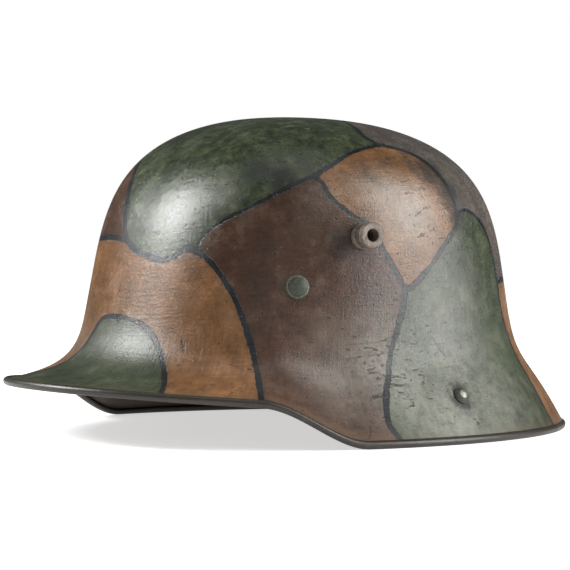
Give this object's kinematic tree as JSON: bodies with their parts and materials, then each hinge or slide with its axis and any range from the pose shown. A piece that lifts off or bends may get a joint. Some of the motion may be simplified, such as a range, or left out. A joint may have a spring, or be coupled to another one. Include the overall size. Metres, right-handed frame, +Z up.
{
  "type": "steel helmet",
  "caption": "Deep steel helmet with a visor, flared neck skirt, rolled rim and vent lugs, painted in camouflage, with a leather liner and chinstrap.",
  "frame": {"origin": "middle of the helmet's outline seen from above, on the surface that the rim stands on", "axes": "+Z up through the crown, +Y from the visor to the nape, +X towards the wearer's left ear"},
  "size_m": [0.2408, 0.312, 0.1615],
  "materials": {
    "camouflage_paint": "satin",
    "worn_lug_paint": "satin, worn",
    "green_pin_paint": "satin",
    "dark_rivet_paint": "satin, worn",
    "bare_steel": "dull",
    "strap_rivet_steel": "dull",
    "buckle_steel": "dull",
    "band_leather": "matt",
    "pad_leather": "soft sheen",
    "cushion_cloth": "matt",
    "strap_leather": "soft sheen"
  },
  "bodies": {
    "helmet": {"shell": "camouflage_paint", "vent_lug_left": "worn_lug_paint", "vent_lug_right": "worn_lug_paint", "liner_pin_front_left": "green_pin_paint", "liner_pin_front_right": "green_pin_paint", "liner_pin_rear": "green_pin_paint", "pin_plates": "bare_steel", "liner_band": "band_leather", "pad_front_left": "pad_leather", "pad_front_right": "pad_leather", "pad_rear": "pad_leather", "cushion_front_left": "cushion_cloth", "cushion_front_right": "cushion_cloth", "cushion_rear": "cushion_cloth", "chinstrap_rivet_left": "dark_rivet_paint", "chinstrap_rivet_right": "dark_rivet_paint", "chinstrap_post_left": "bare_steel", "chinstrap_post_right": "bare_steel"},
    "strap": {"strap_end_left": "bare_steel", "strap_end_right": "bare_steel", "strap_rivets_left": "strap_rivet_steel", "strap_rivets_right": "strap_rivet_steel", "chinstrap": "strap_leather"},
    "buckle_left": {"strap_buckle_left": "buckle_steel"},
    "buckle_right": {"strap_buckle_right": "buckle_steel"}
  },
  "joints": [
    {"name": "chinstrap_swing", "type": "hinge", "parent": "helmet", "child": "strap", "pos_m": [0, 0.02851, 0.02105], "axis": [1, 0, 0], "range_deg": [-145, 0]},
    {"name": "buckle_left_slide", "type": "slide", "parent": "strap", "child": "buckle_left", "axis": [-0.2756, 0.953, -0.1255], "range_m": [-0.0065, 0.0065]},
    {"name": "buckle_right_slide", "type": "slide", "parent": "strap", "child": "buckle_right", "axis": [0.2756, 0.953, -0.1255], "range_m": [-0.0065, 0.0065]}
  ]
}
